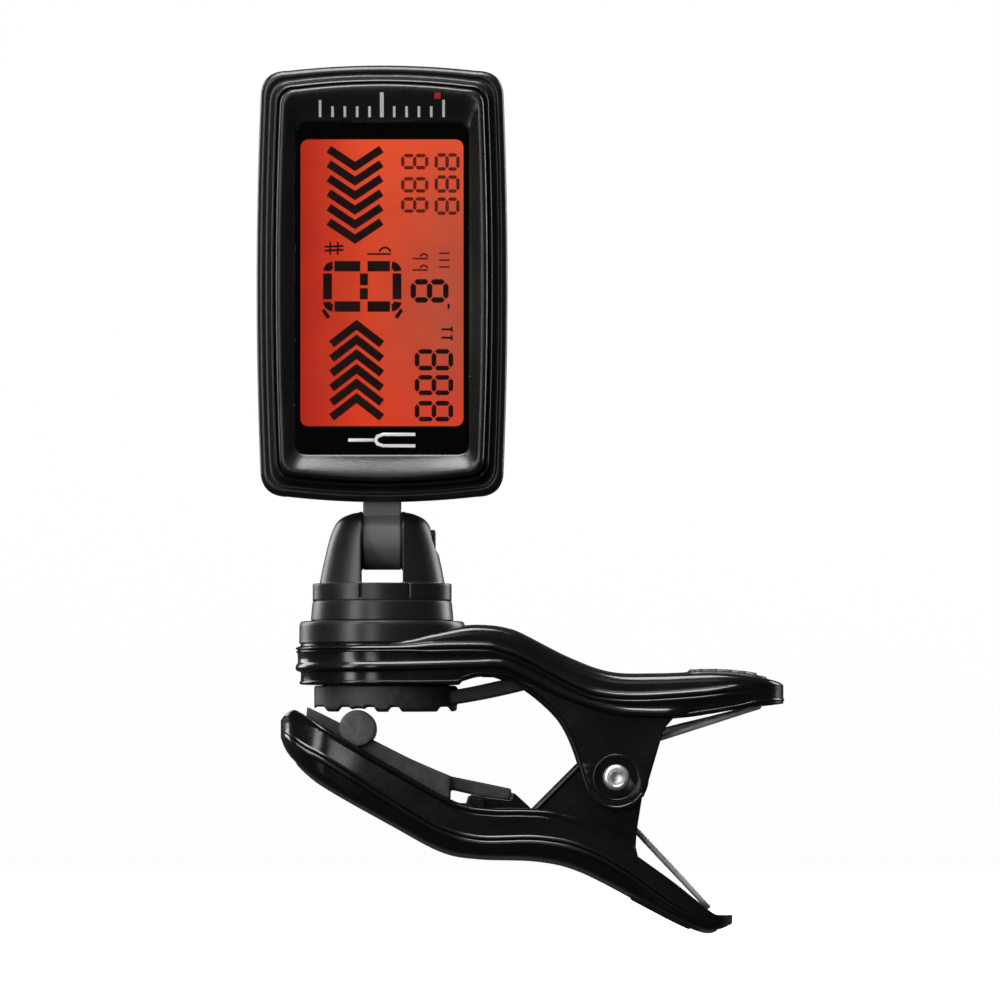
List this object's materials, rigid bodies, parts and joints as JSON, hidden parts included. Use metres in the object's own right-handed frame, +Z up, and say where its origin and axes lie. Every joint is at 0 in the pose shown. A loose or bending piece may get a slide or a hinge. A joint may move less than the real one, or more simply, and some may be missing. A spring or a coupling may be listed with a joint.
{
  "type": "clip on tuner",
  "caption": "Clip-on instrument tuner: backlit display head on a tilting, swivelling turret, carried by a sprung clip with rubber-padded jaws.",
  "frame": {"origin": "on the gripping rib of the upper pad, straight under the swivel axis: the face that rests on a headstock", "axes": "+Z up along the swivel axis, towards the display head; +X along the clip, towards the handles; -Y out of the display"},
  "size_m": [0.0693, 0.0228, 0.1137],
  "materials": {
    "abs_black": "satin moulded",
    "trim_black": "semi-gloss moulded",
    "pad_rubber": "matte",
    "grip_rubber": "matte",
    "clear_window": "polished",
    "lcd_orange": "lit from behind",
    "diffuser": "translucent",
    "circuit_green": "solder mask",
    "chip_black": "moulded",
    "inner_plastic": "moulded",
    "plated_steel": "nickel plated",
    "spring_brass": "bare"
  },
  "bodies": {
    "case": {"front_frame": "abs_black", "rear_shell": "abs_black", "display_window": "clear_window", "lcd_panel": "lcd_orange", "light_guide": "diffuser", "contact_strip": "chip_black", "circuit_board": "circuit_green", "tuner_chip": "chip_black", "backlight_led_left": "diffuser", "backlight_led_right": "diffuser", "power_switch": "plated_steel", "mode_switch": "plated_steel", "pitch_switch": "plated_steel", "battery_holder": "inner_plastic", "coin_cell": "plated_steel", "battery_contact_positive": "spring_brass", "battery_contact_negative": "spring_brass", "piezo_sensor": "spring_brass", "case_screw_1": "plated_steel", "case_screw_2": "plated_steel", "case_screw_3": "plated_steel", "case_screw_4": "plated_steel"},
    "power_button": {"power_button": "trim_black"},
    "mode_button": {"mode_button": "trim_black"},
    "pitch_button": {"pitch_button": "trim_black"},
    "battery_door": {"battery_door": "trim_black"},
    "turret": {"turret_fork": "abs_black", "swivel_ring": "abs_black", "tilt_screw": "plated_steel", "tilt_nut": "plated_steel", "swivel_screw": "plated_steel", "swivel_washer": "plated_steel"},
    "upper_jaw": {"upper_jaw": "abs_black", "upper_pad": "pad_rubber", "upper_thumb_grip": "grip_rubber", "friction_washer": "inner_plastic", "pivot_rivet": "plated_steel"},
    "lower_jaw": {"lower_jaw": "abs_black", "lower_pad": "pad_rubber", "lower_thumb_grip": "grip_rubber", "torsion_spring": "plated_steel"}
  },
  "joints": [
    {"name": "jaw_open", "type": "hinge", "parent": "upper_jaw", "child": "lower_jaw", "pos_m": [0.0307, 0, -0.00875], "axis": [0, -1, 0], "range_deg": [0, 30], "stiffness_Nm_per_rad": 0.5, "springref_deg": -22.92, "deforming": ["torsion_spring"]},
    {"name": "turret_swivel", "type": "hinge", "parent": "upper_jaw", "child": "turret", "pos_m": [0, 0, 0.0144], "axis": [0, 0, 1], "continuous": true},
    {"name": "head_tilt", "type": "hinge", "parent": "turret", "child": "case", "pos_m": [0, 0, 0.0224], "axis": [1, 0, 0], "range_deg": [-75, 75]},
    {"name": "power_press", "type": "slide", "parent": "case", "child": "power_button", "axis": [0, -1, 0], "range_m": [0, 0.0004], "stiffness_N_per_m": 500, "springref_m": -0.0002},
    {"name": "mode_press", "type": "slide", "parent": "case", "child": "mode_button", "axis": [0, -1, 0], "range_m": [0, 0.0004], "stiffness_N_per_m": 500, "springref_m": -0.0002},
    {"name": "pitch_press", "type": "slide", "parent": "case", "child": "pitch_button", "axis": [0, -1, 0], "range_m": [0, 0.0004], "stiffness_N_per_m": 500, "springref_m": -0.0002},
    {"name": "door_slide", "type": "slide", "parent": "case", "child": "battery_door", "axis": [0, 1, 0], "range_m": [0, 0.012]}
  ]
}
